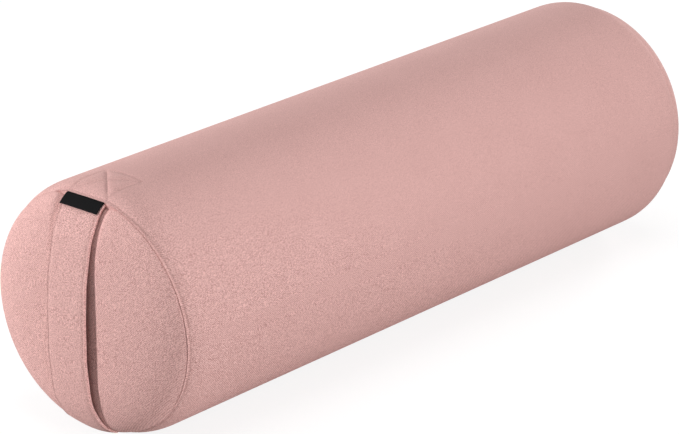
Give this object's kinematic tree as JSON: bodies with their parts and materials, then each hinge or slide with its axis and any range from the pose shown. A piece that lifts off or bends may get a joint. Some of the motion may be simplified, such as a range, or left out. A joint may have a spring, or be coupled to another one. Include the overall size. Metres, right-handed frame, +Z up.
{
  "type": "yoga bolster",
  "caption": "Round yoga bolster in a zipped fabric cover with crowned ends, a webbing-cored carry handle sewn across one end, a bare woven label and a stuffed liner round a foam core.",
  "frame": {"origin": "on the rest flat, under the bolster's long axis and midway between its furthest points at either end", "axes": "+X along the bolster from the handle end to the plain end, +Y towards the zip side, +Z up"},
  "size_m": [0.7066, 0.2177, 0.215],
  "materials": {
    "cover_cotton": "brushed dusty rose cotton",
    "webbing": "flat woven cotton",
    "label": "bare black damask weave",
    "zip_tape": "woven polyester",
    "zip_coil": "dyed nylon monofilament",
    "zip_metal": "nickel plated",
    "lining": "undyed plain cotton",
    "wadding": "lofted polyester wadding",
    "foam": "open cell polyurethane foam"
  },
  "bodies": {
    "bolster": {"cover_body": "cover_cotton", "cover_end_handle": "cover_cotton", "cover_end_plain": "cover_cotton", "zip_tape_upper": "zip_tape", "zip_tape_lower": "zip_tape", "zip_coil_upper": "zip_coil", "zip_coil_lower": "zip_coil", "zip_top_stop_upper": "zip_metal", "zip_top_stop_lower": "zip_metal", "zip_bottom_stop": "zip_metal", "liner_body": "lining", "liner_end_handle": "lining", "liner_end_plain": "lining", "batting_wrap": "wadding", "end_pad_handle": "wadding", "end_pad_plain": "wadding", "foam_core": "foam"},
    "handle": {"handle_sleeve": "cover_cotton", "handle_webbing": "webbing", "handle_label": "label"},
    "slider": {"zip_slider": "zip_metal"},
    "pull": {"zip_pull": "zip_metal"}
  },
  "joints": [
    {"name": "handle_draw", "type": "slide", "parent": "bolster", "child": "handle", "axis": [-1, 0, 0], "range_m": [0, 0.016], "stiffness_N_per_m": 300},
    {"name": "zip_slide", "type": "slide", "parent": "bolster", "child": "slider", "axis": [-1, 0, 0], "range_m": [0, 0.542]},
    {"name": "zip_pull_flip", "type": "hinge", "parent": "slider", "child": "pull", "pos_m": [0.27597, 0.10785, 0.13617], "axis": [0, 0.2588, -0.9659], "range_deg": [0, 180]}
  ]
}
